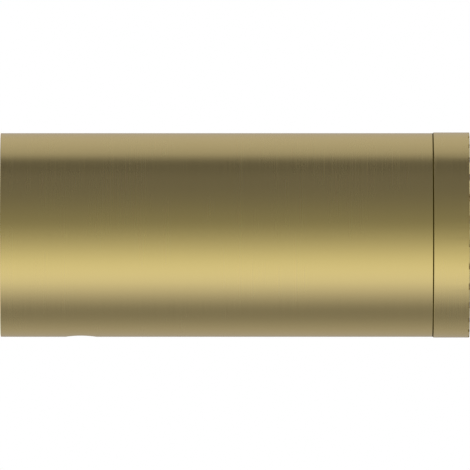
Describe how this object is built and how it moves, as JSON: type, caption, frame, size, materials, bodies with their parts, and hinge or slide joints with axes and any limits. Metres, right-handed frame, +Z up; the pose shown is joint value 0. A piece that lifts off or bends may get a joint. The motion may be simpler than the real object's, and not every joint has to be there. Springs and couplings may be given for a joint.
{
  "type": "towel bar",
  "caption": "Wall-mounted towel bar in brushed brass: a round tube held between straight cylindrical posts, each on a slim round wall plate with a fine seam between.",
  "frame": {"origin": "on the wall plane, midway between the two wall plates, at the height of the bar", "axes": "+X along the bar, +Y into the wall, +Z up"},
  "size_m": [0.4858, 0.0658, 0.0288],
  "materials": {
    "brushed_brass": "fine brushed",
    "screw_steel": "plain turned",
    "plug_aluminium": "plain turned"
  },
  "bodies": {
    "root": {"bar": "brushed_brass", "left_post": "brushed_brass", "right_post": "brushed_brass", "left_wall_plate": "brushed_brass", "right_wall_plate": "brushed_brass", "left_stud": "screw_steel", "right_stud": "screw_steel", "left_bar_screw": "screw_steel", "right_bar_screw": "screw_steel", "left_bar_plug": "plug_aluminium", "right_bar_plug": "plug_aluminium"}
  },
  "joints": []
}
